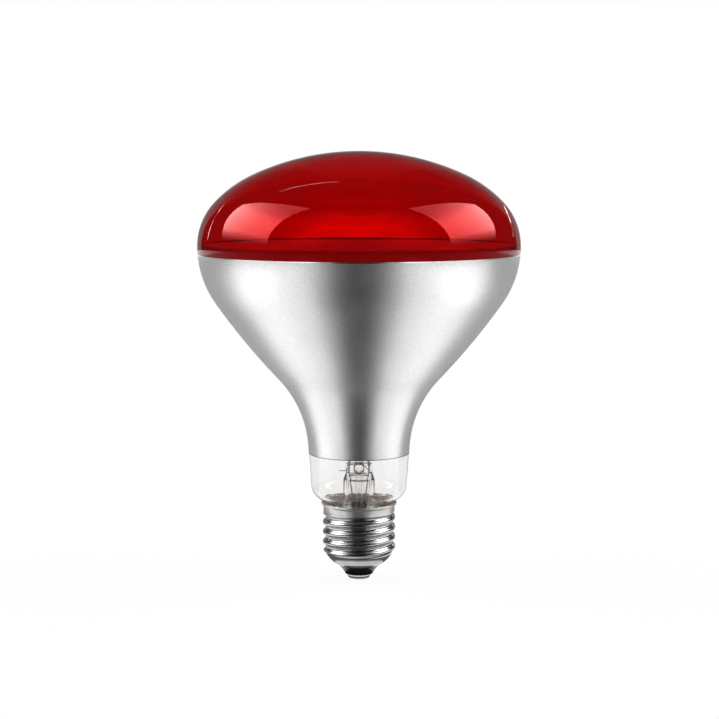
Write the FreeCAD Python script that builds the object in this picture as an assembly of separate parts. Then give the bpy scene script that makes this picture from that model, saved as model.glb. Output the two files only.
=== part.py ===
import FreeCAD, Part
import os
from math import cos, pi, radians, sin, tan
from FreeCAD import Vector

# Infrared heat lamp bulb: red faced, silvered reflector bulb with an Edison screw cap.
# Millimetres. Z runs along the lamp's axis from the flat tip of the centre contact (zero)
# up to the crown of the face. The stem's press is flat along X, and -Y is the front.

# Glass envelope, outer surface
bulb_radius = 57.35
dome_rise = 33.55
dome_mid_radius = 44.0
dome_top_angle = 24.9
dome_mid_angle = 46.6
low_radius = 35.2
low_angle = 35.0
cone_angle = 43.2
neck_fillet_radius = 39.8
neck_foot_radius = 17.3
neck_taper = 3.55
neck_length = 14.1
neck_above_cap = 6.25
bottom_radius = 6.0
entry_angle = 54.8
entry_fillet_radius = 2.0
foot_radius = 11.2
foot_length = 2.4
glass_wall = 1.0

# Coatings on the outside of the glass
coat_thickness = 0.15
ring_below_equator = 2.65
silver_edge_above_neck_foot = 11.65

# Screw cap shell, nickel plated brass sheet
cap_height = 28.3
shell_wall = 0.35
lip_radius = 13.6
lip_height = 1.2
skirt_radius = 12.9
skirt_height = 3.2
thread_major_radius = 13.15
thread_minor_radius = 12.08
thread_pitch = 3.629
thread_crest_height = 15.5
thread_fade = 1.5
thread_rings_per_pitch = 8
cone_top_radius = 12.0
cone_top_height = 9.4
cone_foot_radius = 7.6
cone_foot_height = 5.25
cone_bulge = 0.45

# Black glass insulator, centre contact and its solder
insulator_foot_radius = 5.05
insulator_foot_height = 1.9
insulator_hollow = 0.15
insulator_floor = 2.9
insulator_rim_height = 9.0
insulator_dish_radius = 8.6
contact_radius = 4.3
flange_face_height = 0.85
flange_edge_height = 1.35
contact_seat_depth = 0.3
contact_tube_radius = 1.5
contact_bore_radius = 0.9
contact_tube_rise = 1.0
solder_radius = 4.0
solder_flat_radius = 3.1
solder_bulge = 0.16

# Cement between the glass and the shell
cement_drop = 0.5
cement_length = 2.4

# Stem: flared tube with a flat press at its top
stem_radius = 5.7
stem_wall = 1.3
stem_shoulder_rise = 2.2
press_width = 9.6
press_thickness = 3.2
press_height = 3.6
stem_length = 17.84
shoulder_split_angle = 35.0
pinch_width = 8.0
pinch_thickness = 1.2
flare_edge_above_foot = 0.5

# Exhaust tube and its blown hole in the press
exhaust_radius = 1.65
exhaust_bore_radius = 1.0
exhaust_below_foot = 7.06
exhaust_seat = 0.6
hole_width = 3.4
hole_height = 4.3
hole_drop = 1.9

# Lead wires
lead_offset = 3.5
seal_wire_radius = 0.225
seal_end_cover = 0.5
outer_wire_radius = 0.225
outer_lead_waist = 2.05
inner_wire_radius = 0.45
inner_lead_seat = 0.9
inner_lead_bend_height = 92.0
wire_bend = 2.0

# Filament mount
filament_height = 110.0
filament_ring_radius = 14.0
filament_radius = 0.7
filament_half_sweep = 125.0
clamp_radius = 1.05
clamp_length = 3.2
clamp_hold = 1.2
arbor_radius = 1.5
arbor_height = 98.0
button_radius = 3.0
button_height = 3.6
hook_wire_radius = 0.25
hook_bearings = (-62.0, 0.0, 62.0)
hook_clearance = 0.05
hook_seat = 1.4

# Tie wire at the press
tie_wire_radius = 0.15
tie_stub_reach = 7.1
tie_stub_drop = 2.45
tie_bend_inset = 0.4
tie_rise_width = 0.7
tie_end_overhang = 0.3
tie_clearance = 0.02

# Side solder, at the back of the lip
side_solder_radius = 1.1
side_wire_gap = 0.04
side_wire_bend = 0.5

equator_turn = 0.0
apex_turn = 90.0
touching = 1e-6


def normal(turn):
    # outward direction of a surface whose normal stands turn degrees above the horizontal
    return Vector(cos(radians(turn)), 0, sin(radians(turn)))


def uphill(turn):
    return Vector(-sin(radians(turn)), 0, cos(radians(turn)))


def run_along(start, turn, length):
    end = start + uphill(turn) * length
    return {"start": start, "end": end, "middle": (start + end) * 0.5, "turns": (turn, turn, turn)}


def run_round(start, turn, next_turn, radius):
    # a tangent arc; a negative radius curves the other way, hollow as seen from outside
    centre = start - normal(turn) * radius
    middle_turn = (turn + next_turn) / 2
    return {
        "start": start,
        "middle": centre + normal(middle_turn) * radius,
        "end": centre + normal(next_turn) * radius,
        "turns": (turn, middle_turn, next_turn),
    }


def dome_radii():
    # top and shoulder radii that close the dome on the bulb's radius and rise
    low_sin, low_cos = sin(radians(dome_top_angle)), cos(radians(dome_top_angle))
    high_sin, high_cos = sin(radians(dome_mid_angle)), cos(radians(dome_mid_angle))
    width = bulb_radius - dome_mid_radius * (high_sin - low_sin)
    rise = dome_rise - dome_mid_radius * (low_cos - high_cos)
    scale = low_sin * high_cos - (1 - low_cos) * (1 - high_sin)
    top = (width * high_cos - rise * (1 - high_sin)) / scale
    shoulder = (rise * low_sin - width * (1 - low_cos)) / scale
    return top, shoulder


def bulb_runs():
    # the outer glass surface from the seal at the foot to the crown, as tangent runs
    entry = radians(entry_angle)
    taper = radians(neck_taper)
    bottom_width = bottom_radius * (cos(taper) - cos(entry))
    bottom_rise = bottom_radius * (sin(entry) - sin(taper))
    fillet_width = entry_fillet_radius * (1 - cos(entry))
    fillet_rise = entry_fillet_radius * sin(entry)
    slope = (neck_foot_radius - bottom_width - fillet_width - foot_radius) / sin(entry)
    foot_top = cap_height + neck_above_cap - bottom_rise - slope * cos(entry) - fillet_rise
    top_radius, shoulder_radius = dome_radii()

    runs = [run_along(Vector(foot_radius, 0, foot_top - foot_length), 0, foot_length)]
    runs.append(run_round(runs[-1]["end"], 0, -entry_angle, -entry_fillet_radius))
    runs.append(run_along(runs[-1]["end"], -entry_angle, slope))
    runs.append(run_round(runs[-1]["end"], -entry_angle, -neck_taper, bottom_radius))
    runs.append(run_along(runs[-1]["end"], -neck_taper, neck_length))
    runs.append(run_round(runs[-1]["end"], -neck_taper, -cone_angle, -neck_fillet_radius))
    cone_turn = radians(cone_angle - low_angle)
    cone_width = bulb_radius - low_radius * (1 - cos(radians(low_angle))) - runs[-1]["end"].x
    cone_chord = cone_width / sin(radians((cone_angle + low_angle) / 2))
    cone_radius = cone_chord / (2 * sin(cone_turn / 2))
    runs.append(run_round(runs[-1]["end"], -cone_angle, -low_angle, cone_radius))
    runs.append(run_round(runs[-1]["end"], -low_angle, equator_turn, low_radius))
    shoulder_turn = apex_turn - dome_mid_angle
    top_turn = apex_turn - dome_top_angle
    runs.append(run_round(runs[-1]["end"], equator_turn, shoulder_turn, shoulder_radius))
    runs.append(run_round(runs[-1]["end"], shoulder_turn, top_turn, dome_mid_radius))
    runs.append(run_round(runs[-1]["end"], top_turn, apex_turn, top_radius))
    return runs


runs = bulb_runs()
foot_bottom = runs[0]["start"].z
foot_top = runs[0]["end"].z
neck_foot_height = runs[3]["end"].z
equator_height = runs[7]["end"].z
ring_height = equator_height - ring_below_equator
silver_edge_height = neck_foot_height + silver_edge_above_neck_foot
skirt_bottom = cap_height - skirt_height
flare_edge_height = foot_bottom + flare_edge_above_foot
press_top_height = flare_edge_height + stem_length
press_foot_height = press_top_height - press_height
shoulder_foot_height = press_foot_height - stem_shoulder_rise
exhaust_tip_height = foot_bottom - exhaust_below_foot


def surface_edges(offset):
    # the glass surface moved outward by offset, foot to crown
    edges = []
    for run in runs:
        points = [run[key] + normal(turn) * offset
                  for key, turn in zip(("start", "middle", "end"), run["turns"])]
        if run["turns"][0] == run["turns"][2]:
            edges.append(Part.LineSegment(points[0], points[2]).toShape())
        else:
            edges.append(Part.Arc(*points).toShape())
    return edges


def line(a, b):
    return Part.LineSegment(a, b).toShape()


def turned(edges):
    # a solid of revolution about Z from a closed outline in the XZ plane
    outline = Part.Wire(edges)
    return Part.Face(outline).revolve(Vector(0, 0, 0), Vector(0, 0, 1), 360)


def turned_faces(edges):
    # the faces swept by an open outline once round Z
    return Part.Wire(edges).revolve(Vector(0, 0, 0), Vector(0, 0, 1), 360).Faces


def filled_to(offset):
    # everything inside the surface at this offset, from the seal up
    edges = surface_edges(offset)
    low = runs[0]["start"] + normal(0) * offset
    high = runs[-1]["end"] + normal(apex_turn) * offset
    axis_low = Vector(0, 0, low.z)
    return turned(edges + [line(high, axis_low), line(axis_low, low)])


def slab(low, high):
    # a wide disc between two heights, for cutting a band out of a turned shape
    reach = bulb_radius * 2
    return Part.makeCylinder(reach, high - low, Vector(0, 0, low))


def glass_bulb():
    return filled_to(0).cut(filled_to(-glass_wall))


def coating(low, high):
    skin = filled_to(coat_thickness).cut(filled_to(0))
    return skin.common(slab(low, high))


def bent_wire(points, wire_radius, bend_radii):
    # straight runs joined by tangent arcs, one radius for each corner, swept with a round section
    edges = []
    here = points[0]
    for before, corner, after, bend_radius in zip(points, points[1:], points[2:], bend_radii):
        back = before - corner
        ahead = after - corner
        reach = min(back.Length, ahead.Length) / 2
        half_turn = (pi - back.getAngle(ahead)) / 2
        cut = min(bend_radius * tan(half_turn), reach)
        enter = corner + Vector(back).normalize() * cut
        leave = corner + Vector(ahead).normalize() * cut
        radius = cut / tan(half_turn)
        bisector = (Vector(back).normalize() + Vector(ahead).normalize()).normalize()
        middle = corner + bisector * (radius / cos(half_turn) - radius)
        if (enter - here).Length > touching:
            edges.append(line(here, enter))
        edges.append(Part.Arc(enter, middle, leave).toShape())
        here = leave
    if (points[-1] - here).Length > touching:
        edges.append(line(here, points[-1]))
    path = Part.Wire(edges)
    section = Part.Wire(Part.makeCircle(wire_radius, points[0], points[1] - points[0]))
    return path.makePipeShell([section], True, False)


# Stem


def flat_oval(width, thickness, height):
    # two straight sides joined by half circles, starting at the front right corner
    end = thickness / 2
    side = width / 2 - end
    corners = [Vector(side, -end, height), Vector(side, end, height),
               Vector(-side, end, height), Vector(-side, -end, height)]
    tips = [Vector(width / 2, 0, height), Vector(-width / 2, 0, height)]
    return Part.Wire([
        Part.Arc(corners[0], tips[0], corners[1]).toShape(),
        line(corners[1], corners[2]),
        Part.Arc(corners[2], tips[1], corners[3]).toShape(),
        line(corners[3], corners[0]),
    ])


def four_arc_circle(radius, height):
    # a circle split where the flat oval's straight sides begin
    split = radians(shoulder_split_angle)
    x, y = radius * cos(split), radius * sin(split)
    corners = [Vector(x, -y, height), Vector(x, y, height), Vector(-x, y, height), Vector(-x, -y, height)]
    middles = [Vector(radius, 0, height), Vector(0, radius, height),
               Vector(-radius, 0, height), Vector(0, -radius, height)]
    return Part.Wire([Part.Arc(corners[i], middles[i], corners[(i + 1) % 4]).toShape() for i in range(4)])


def flare(tube_radius, wall, low):
    # trumpet from the tube out to the glass foot's inside
    reach = foot_radius - glass_wall
    start_height = low + wall + (reach - tube_radius)
    bend_out = reach - tube_radius
    bend_in = bend_out + wall
    bore = tube_radius - wall
    centre = Vector(reach, 0, start_height)
    halfway = (normal(180) + normal(270)).normalize()
    top = shoulder_foot_height
    return turned([
        line(Vector(tube_radius, 0, top), Vector(tube_radius, 0, start_height)),
        Part.Arc(Vector(tube_radius, 0, start_height), centre + halfway * bend_out,
                 Vector(reach, 0, start_height - bend_out)).toShape(),
        line(Vector(reach, 0, start_height - bend_out), Vector(reach, 0, start_height - bend_in)),
        Part.Arc(Vector(reach, 0, start_height - bend_in), centre + halfway * bend_in,
                 Vector(bore, 0, start_height)).toShape(),
        line(Vector(bore, 0, start_height), Vector(bore, 0, top)),
        line(Vector(bore, 0, top), Vector(tube_radius, 0, top)),
    ])


def stem_tube():
    tube = flare(stem_radius, stem_wall, flare_edge_height)
    press = Part.Face(flat_oval(press_width, press_thickness, press_foot_height))
    press = press.extrude(Vector(0, 0, press_height))
    shoulder = Part.makeLoft([four_arc_circle(stem_radius, shoulder_foot_height),
                              flat_oval(press_width, press_thickness, press_foot_height)], True, True)
    cavity = Part.makeLoft([four_arc_circle(stem_radius - stem_wall, shoulder_foot_height),
                            flat_oval(pinch_width, pinch_thickness, press_foot_height)], True, True)
    hole_centre = press_top_height - hole_drop
    hole = Part.makeCylinder(1, press_thickness, Vector(0, -press_thickness, 0), Vector(0, 1, 0))
    stretch = FreeCAD.Matrix()
    stretch.scale(hole_width / 2, 1, hole_height / 2 * (press_height - hole_drop) / hole_drop)
    hole = hole.transformGeometry(stretch)
    hole.translate(Vector(0, 0, hole_centre))
    bore = Part.makeCylinder(exhaust_bore_radius, hole_centre - shoulder_foot_height,
                             Vector(0, 0, shoulder_foot_height))
    seat = Part.makeCylinder(exhaust_radius, exhaust_seat + stem_shoulder_rise,
                             Vector(0, 0, shoulder_foot_height))
    body = tube.multiFuse([shoulder, press]).removeSplitter()
    body = body.cut(cavity).cut(bore).cut(seat).cut(hole)
    for side in (-1, 1):
        body = body.cut(seal_wire(side)).cut(inner_lead(side))
    return body


def exhaust_tube():
    top = press_foot_height + exhaust_seat
    tip = exhaust_tip_height
    outside = Part.makeCylinder(exhaust_radius, top - tip - exhaust_radius, Vector(0, 0, tip + exhaust_radius))
    outside = outside.fuse(Part.makeSphere(exhaust_radius, Vector(0, 0, tip + exhaust_radius)))
    inside = Part.makeCylinder(exhaust_bore_radius, top - tip - 2 * exhaust_radius,
                               Vector(0, 0, tip + 2 * exhaust_radius))
    return outside.cut(inside).removeSplitter()


# Lead wires. side is -1 on the left, 1 on the right.


def seal_wire(side):
    low = press_foot_height - seal_end_cover
    high = press_top_height - inner_lead_seat
    return Part.makeCylinder(seal_wire_radius, high - low, Vector(side * lead_offset, 0, low))


def filament_end(side):
    turn = radians(filament_half_sweep)
    return Vector(side * filament_ring_radius * sin(turn), -filament_ring_radius * cos(turn), filament_height)


def filament_heading(side):
    # direction in which the filament leaves its end, pointing away from the coil
    turn = radians(filament_half_sweep)
    return Vector(side * cos(turn), sin(turn), 0)


def clamp_centre(side):
    return filament_end(side) + filament_heading(side) * (clamp_length / 2 - clamp_hold)


def inner_lead(side):
    foot = Vector(side * lead_offset, 0, press_top_height - inner_lead_seat)
    bend = Vector(side * lead_offset, 0, inner_lead_bend_height)
    wire = bent_wire([foot, bend, clamp_centre(side)], inner_wire_radius, [wire_bend])
    return wire.cut(clamp_barrel(side))


def clamp_barrel(side):
    low = clamp_centre(side) - filament_heading(side) * (clamp_length / 2)
    return Part.makeCylinder(clamp_radius, clamp_length, low, filament_heading(side))


def filament():
    ring = Part.makeTorus(filament_ring_radius, filament_radius, Vector(0, 0, 0), Vector(0, 0, 1),
                          0, 360, 2 * filament_half_sweep)
    ring.rotate(Vector(0, 0, 0), Vector(0, 0, 1), -90 - filament_half_sweep)
    ring.translate(Vector(0, 0, filament_height))
    return ring


def filament_clamp(side):
    return clamp_barrel(side).cut(filament())


def outer_lead_top(side):
    return Vector(side * lead_offset, 0, press_foot_height - seal_end_cover)


def outer_lead_waist_point(side):
    return Vector(side * outer_lead_waist, 0, cap_height)


def outer_lead_centre():
    # from the left seal wire down past the exhaust tip and through the contact's eyelet
    side = -1
    low = exhaust_tip_height - exhaust_radius
    turn_in = Vector(side * outer_lead_waist, 0, low)
    on_axis = Vector(0, 0, low - 2 * outer_lead_waist)
    end = Vector(0, 0, flange_face_height)
    points = [outer_lead_top(side), outer_lead_waist_point(side), turn_in, on_axis, end]
    return bent_wire(points, outer_wire_radius, [wire_bend] * 3)


def side_wire_standoff():
    # from the glass foot's surface to the side wire's middle
    return outer_wire_radius + side_wire_gap


def side_wire_points():
    # from the right seal wire, round the glass foot at the back and up over the lip
    side = 1
    away = side_wire_standoff()
    below = foot_bottom - outer_wire_radius - side_wire_bend
    slope = runs[2]["start"] + normal(-entry_angle) * away
    steepness = 1 / tan(radians(entry_angle))
    foot_reach = foot_radius + away
    lip_reach = lip_radius - shell_wall - away
    return [
        outer_lead_top(side),
        outer_lead_waist_point(side),
        Vector(side * outer_lead_waist, 0, below),
        Vector(0, foot_reach, below),
        Vector(0, foot_reach, slope.z - (slope.x - foot_reach) * steepness),
        Vector(0, lip_reach, slope.z + (lip_reach - slope.x) * steepness),
        Vector(0, lip_reach, cap_height + away),
        Vector(0, lip_radius + side_solder_radius / 2, cap_height + away),
    ]


def outer_lead_side():
    round_glass = entry_fillet_radius - side_wire_standoff()
    bends = [wire_bend, side_wire_bend, side_wire_bend, round_glass, side_wire_bend, side_wire_bend]
    return bent_wire(side_wire_points(), outer_wire_radius, bends)


def side_solder():
    # a flattened bead on the lip's outside edge, over the end of the side wire
    bead = Part.makeSphere(side_solder_radius, Vector(0, lip_radius + side_solder_radius / 3, cap_height))
    for neighbour in ("cap_screw_shell", "outer_lead_side", "basing_cement", "glass_bulb"):
        bead = bead.cut(pieces[neighbour])
    return bead


# Filament mount


def arbor_rod():
    low = press_top_height
    rod = Part.makeCylinder(arbor_radius, arbor_height - low, Vector(0, 0, low))
    button = Part.makeSphere(1)
    squash = FreeCAD.Matrix()
    squash.scale(button_radius, button_radius, button_height / 2)
    button = button.transformGeometry(squash)
    button.translate(Vector(0, 0, arbor_height))
    body = rod.fuse(button)
    for bearing in hook_bearings:
        body = body.cut(support_hook(bearing))
    return body


def support_hook(bearing):
    # out of the button, up to the filament and once round it
    loop = filament_radius + hook_clearance + hook_wire_radius
    centre = Vector(filament_ring_radius, 0, filament_height)
    root = Vector(button_radius - hook_seat, 0, arbor_height)
    points = [
        root,
        centre + Vector(-loop * 2, 0, -loop * 2),
        centre + Vector(loop, 0, -loop),
        centre + Vector(loop, 0, loop),
        centre + Vector(-loop, 0, loop),
        centre + Vector(-loop, 0, 0),
    ]
    hook = bent_wire(points, hook_wire_radius, [loop] * 4)
    hook.rotate(Vector(0, 0, 0), Vector(0, 0, 1), bearing - 90)
    return hook


def stem_tie_wire():
    # across the front of the press: a stub at the left, a rise, a run and a slant to the right
    front = -press_thickness / 2 - tie_wire_radius - tie_clearance
    middle = press_top_height - tie_stub_drop
    high = press_top_height - 2 * tie_wire_radius
    bend = press_width / 2 - tie_bend_inset
    end = press_width / 2 + tie_end_overhang
    points = [
        Vector(-tie_stub_reach, front, middle),
        Vector(-bend, front, middle),
        Vector(-bend + tie_rise_width, front, high),
        Vector(hole_width / 2, front, high),
        Vector(bend, front, press_foot_height + tie_wire_radius),
        Vector(end, 0, press_foot_height - tie_wire_radius),
    ]
    return bent_wire(points, tie_wire_radius, [2 * tie_wire_radius] * 4)


# Cap


def faded(height):
    # 0 at the ends of the threaded band, 1 where the thread is full
    edge = min(height - cone_top_height, skirt_bottom - height) / thread_fade
    edge = max(0, min(1, edge))
    return edge * edge * (3 - 2 * edge)


def thread_side(offset):
    # the rolled thread's surface moved outward by offset. Each level section is a circle
    # set off the axis, and its centre walks once round the axis in one pitch.
    mean_radius = (thread_major_radius + thread_minor_radius) / 2
    walk = (thread_major_radius - thread_minor_radius) / 2
    length = skirt_bottom - cone_top_height
    count = round(length / thread_pitch * thread_rings_per_pitch)
    wires = []
    for ring in range(count + 1):
        height = cone_top_height + length * ring / count
        share = faded(height)
        plain_radius = skirt_radius if ring > count / 2 else cone_top_radius
        radius = share * mean_radius + (1 - share) * plain_radius + offset
        turn = 2 * pi * (height - thread_crest_height) / thread_pitch
        centre = Vector(share * walk * cos(turn), share * walk * sin(turn), height)
        wires.append(Part.Wire(Part.makeCircle(radius, centre)))
    plug = Part.makeLoft(wires, True, False)
    return max(plug.Faces, key=lambda face: face.BoundBox.ZLength)


def cone_middle(offset):
    # the point halfway down the cap's cone, on its bulged arc
    top = Vector(cone_top_radius, 0, cone_top_height)
    foot = Vector(cone_foot_radius, 0, cone_foot_height)
    along = Vector(top - foot).normalize()
    outward = Vector(along.z, 0, -along.x)
    return (top + foot) * 0.5 + outward * (cone_bulge + offset)


def cone_foot(offset):
    return Vector(cone_foot_radius + offset, 0, cone_foot_height)


def cap_screw_shell():
    # one sheet of even thickness: flared lip, skirt, thread, cone, and the cut edge at its foot
    wall = shell_wall
    skirt_top = cap_height - lip_height
    lip = turned_faces([
        line(Vector(skirt_radius, 0, skirt_bottom), Vector(skirt_radius, 0, skirt_top)),
        line(Vector(skirt_radius, 0, skirt_top), Vector(lip_radius, 0, skirt_top + lip_height / 2)),
        line(Vector(lip_radius, 0, skirt_top + lip_height / 2), Vector(lip_radius, 0, cap_height)),
        line(Vector(lip_radius, 0, cap_height), Vector(lip_radius - wall, 0, cap_height)),
        line(Vector(lip_radius - wall, 0, cap_height),
             Vector(lip_radius - wall, 0, skirt_top + (lip_height + wall) / 2)),
        line(Vector(lip_radius - wall, 0, skirt_top + (lip_height + wall) / 2),
             Vector(skirt_radius - wall, 0, skirt_top + wall / 2)),
        line(Vector(skirt_radius - wall, 0, skirt_top + wall / 2),
             Vector(skirt_radius - wall, 0, skirt_bottom)),
    ])
    top_out = Vector(cone_top_radius, 0, cone_top_height)
    top_in = Vector(cone_top_radius - wall, 0, cone_top_height)
    cone = turned_faces([
        Part.Arc(top_out, cone_middle(0), cone_foot(0)).toShape(),
        line(cone_foot(0), cone_foot(-wall)),
        Part.Arc(cone_foot(-wall), cone_middle(-wall), top_in).toShape(),
    ])
    skin = Part.makeShell(lip + cone + [thread_side(0), thread_side(-wall)])
    skin.sewShape()
    shell = Part.makeSolid(skin)
    if shell.Volume < 0:
        shell.reverse()
    return shell


def cap_insulator():
    # fills the shell's cone, dished on top, with its bare foot below the shell's edge
    side = cone_foot(0)
    foot = Vector(insulator_foot_radius, 0, insulator_foot_height)
    along = Vector(side - foot).normalize()
    inward = Vector(-along.z, 0, along.x)
    hollow = (side + foot) * 0.5 + inward * insulator_hollow
    seat = contact_seat_depth
    wall = shell_wall
    inner_foot = cone_foot(-wall)
    top_in = Vector(cone_top_radius - wall, 0, cone_top_height)
    arc = Part.Arc(inner_foot, cone_middle(-wall), top_in)
    rim_share = (insulator_rim_height - cone_foot_height) / (cone_top_height - cone_foot_height)
    rim = arc.value(arc.FirstParameter + (arc.LastParameter - arc.FirstParameter) * rim_share)
    low = arc.value(arc.FirstParameter + (arc.LastParameter - arc.FirstParameter) * rim_share / 2)
    dish = Vector(insulator_dish_radius, 0, rim.z)
    floor_height = insulator_foot_height + insulator_floor
    floor = Vector(insulator_foot_radius, 0, floor_height)
    bore = contact_tube_radius
    return turned([
        Part.Arc(foot, hollow, side).toShape(),
        line(side, inner_foot),
        Part.Arc(inner_foot, low, rim).toShape(),
        line(rim, dish),
        line(dish, floor),
        line(floor, Vector(bore, 0, floor_height)),
        line(Vector(bore, 0, floor_height), Vector(bore, 0, insulator_foot_height + seat)),
        line(Vector(bore, 0, insulator_foot_height + seat),
             Vector(contact_radius, 0, insulator_foot_height + seat)),
        line(Vector(contact_radius, 0, insulator_foot_height + seat),
             Vector(contact_radius, 0, insulator_foot_height)),
        line(Vector(contact_radius, 0, insulator_foot_height), foot),
    ])


def centre_contact():
    # flanged eyelet: its tube passes the insulator, its flange is the contact's face
    top = insulator_foot_height + contact_seat_depth
    tube_top = insulator_foot_height + insulator_floor + contact_tube_rise
    corners = [
        Vector(contact_bore_radius, 0, flange_face_height),
        Vector(solder_radius, 0, flange_face_height),
        Vector(contact_radius, 0, flange_edge_height),
        Vector(contact_radius, 0, top),
        Vector(contact_tube_radius, 0, top),
        Vector(contact_tube_radius, 0, tube_top),
        Vector(contact_bore_radius, 0, tube_top),
    ]
    return turned([line(a, b) for a, b in zip(corners, corners[1:] + corners[:1])])


def contact_solder():
    # a flat bottomed bead under the eyelet that runs up its bore round the lead
    edge = Vector(solder_radius, 0, flange_face_height)
    flat = Vector(solder_flat_radius, 0, 0)
    bulge = Vector((solder_radius + solder_flat_radius) / 2 + solder_bulge, 0,
                   flange_face_height / 2 - solder_bulge)
    fill_top = insulator_foot_height + insulator_floor
    bead = turned([
        Part.Arc(flat, bulge, edge).toShape(),
        line(edge, Vector(contact_bore_radius, 0, flange_face_height)),
        line(Vector(contact_bore_radius, 0, flange_face_height), Vector(contact_bore_radius, 0, fill_top)),
        line(Vector(contact_bore_radius, 0, fill_top), Vector(0, 0, fill_top)),
        line(Vector(0, 0, fill_top), Vector(0, 0, 0)),
        line(Vector(0, 0, 0), flat),
    ])
    return bead.cut(outer_lead_centre())


def basing_cement():
    # the ring of cement between the shell's skirt and the glass, round the side wire
    high = cap_height - cement_drop
    low = high - cement_length
    inside = skirt_radius - shell_wall
    ring = Part.makeCylinder(inside, high - low, Vector(0, 0, low))
    ring = ring.cut(filled_to(0))
    ring = ring.cut(Part.makeCylinder(foot_radius, high - low, Vector(0, 0, low)))
    return ring.cut(outer_lead_side())


pieces = {
    "glass_bulb": glass_bulb(),
    "red_face_coating": coating(ring_height, equator_height + 2 * dome_rise),
    "reflector_coating": coating(silver_edge_height, ring_height),
    "stem_tube": stem_tube(),
    "exhaust_tube": exhaust_tube(),
    "arbor_rod": arbor_rod(),
    "seal_wire_left": seal_wire(-1),
    "seal_wire_right": seal_wire(1),
    "inner_lead_left": inner_lead(-1),
    "inner_lead_right": inner_lead(1),
    "outer_lead_centre": outer_lead_centre(),
    "outer_lead_side": outer_lead_side(),
    "filament": filament(),
    "filament_clamp_left": filament_clamp(-1),
    "filament_clamp_right": filament_clamp(1),
    "stem_tie_wire": stem_tie_wire(),
    "cap_screw_shell": cap_screw_shell(),
    "cap_insulator": cap_insulator(),
    "centre_contact": centre_contact(),
    "contact_solder": contact_solder(),
    "basing_cement": basing_cement(),
}
pieces["side_solder"] = side_solder()
for name, bearing in zip(("left", "centre", "right"), hook_bearings):
    pieces["support_hook_" + name] = support_hook(bearing)

os.makedirs("parts", exist_ok=True)
for name, shape in pieces.items():
    shape.exportStep("parts/" + name + ".step")
    box = shape.BoundBox
    print(name, len(shape.Solids), shape.isValid(), round(shape.Volume, 2),
          [round(v, 2) for v in (box.XMin, box.YMin, box.ZMin, box.XMax, box.YMax, box.ZMax)])
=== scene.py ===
import bmesh
import bpy
from math import asin, atan2, cos, hypot, pi, radians, sin, sqrt, tan
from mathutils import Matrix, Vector


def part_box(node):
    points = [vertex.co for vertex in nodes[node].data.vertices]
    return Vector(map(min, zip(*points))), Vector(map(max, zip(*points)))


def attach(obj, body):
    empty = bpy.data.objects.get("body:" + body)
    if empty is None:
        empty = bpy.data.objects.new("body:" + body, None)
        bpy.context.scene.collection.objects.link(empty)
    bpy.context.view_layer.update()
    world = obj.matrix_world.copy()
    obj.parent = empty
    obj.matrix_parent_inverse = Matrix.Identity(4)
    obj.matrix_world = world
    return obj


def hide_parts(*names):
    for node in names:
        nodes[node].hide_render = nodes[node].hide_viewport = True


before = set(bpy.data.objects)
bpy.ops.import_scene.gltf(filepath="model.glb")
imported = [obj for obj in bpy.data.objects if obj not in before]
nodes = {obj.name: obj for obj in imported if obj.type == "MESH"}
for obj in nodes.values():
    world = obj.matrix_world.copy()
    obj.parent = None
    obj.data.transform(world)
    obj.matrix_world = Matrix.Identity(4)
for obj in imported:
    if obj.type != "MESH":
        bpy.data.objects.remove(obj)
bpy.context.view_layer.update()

# Infrared heat lamp bulb, red face, silvered bowl, clear neck and screw cap.
# Metres throughout, in the frame's own axes: the contact's tip at zero, the crown up.

scene = bpy.context.scene
axisUp = Vector((0, 0, 1))

# The frame's own heights and radii that the pieces are fitted to
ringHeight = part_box("reflector_coating")[1].z
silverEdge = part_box("reflector_coating")[0].z
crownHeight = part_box("glass_bulb")[1].z
innerSilverRise = 0.0036  # the silver reaches this much higher inside than outside
innerSilverTop = ringHeight + innerSilverRise
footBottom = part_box("glass_bulb")[0].z
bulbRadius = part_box("glass_bulb")[1].x
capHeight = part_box("cap_screw_shell")[1].z
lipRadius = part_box("cap_screw_shell")[1].x


# Shader helpers

def newMaterial(name):
    mat = bpy.data.materials.new(name)
    mat.use_nodes = True
    shader = mat.node_tree.nodes["Principled BSDF"]
    return mat, mat.node_tree, shader


def setSockets(shader, values):
    for name, value in values.items():
        shader.inputs[name].default_value = value


def addNode(tree, kind, values=None, **settings):
    node = tree.nodes.new(kind)
    for name, value in settings.items():
        setattr(node, name, value)
    for name, value in (values or {}).items():
        node.inputs[name].default_value = value
    return node


def mixColours(tree, factor, first, second):
    # the factor socket picks between two fixed colours
    mix = addNode(tree, "ShaderNodeMix", data_type="RGBA")
    mix.inputs["A"].default_value = first
    mix.inputs["B"].default_value = second
    tree.links.new(factor, mix.inputs["Factor"])
    return mix.outputs["Result"]


def mapRange(tree, value, low, high, newLow, newHigh):
    node = addNode(tree, "ShaderNodeMapRange", {
        "From Min": low, "From Max": high, "To Min": newLow, "To Max": newHigh})
    tree.links.new(value, node.inputs["Value"])
    return node.outputs["Result"]


def addBump(tree, shader, height, strength, distance):
    bump = addNode(tree, "ShaderNodeBump", {"Strength": strength, "Distance": distance})
    tree.links.new(height, bump.inputs["Height"])
    tree.links.new(bump.outputs["Normal"], shader.inputs["Normal"])


def objectPoint(tree):
    return addNode(tree, "ShaderNodeTexCoord").outputs["Object"]


def objectHeight(tree):
    split = addNode(tree, "ShaderNodeSeparateXYZ")
    tree.links.new(objectPoint(tree), split.inputs["Vector"])
    return split.outputs["Z"]


def multiply(tree, first, second):
    node = addNode(tree, "ShaderNodeMath", operation="MULTIPLY")
    tree.links.new(first, node.inputs[0])
    tree.links.new(second, node.inputs[1])
    return node.outputs["Value"]


noiseRange = (0.3, 0.7)  # where most of a noise texture's values lie


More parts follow.
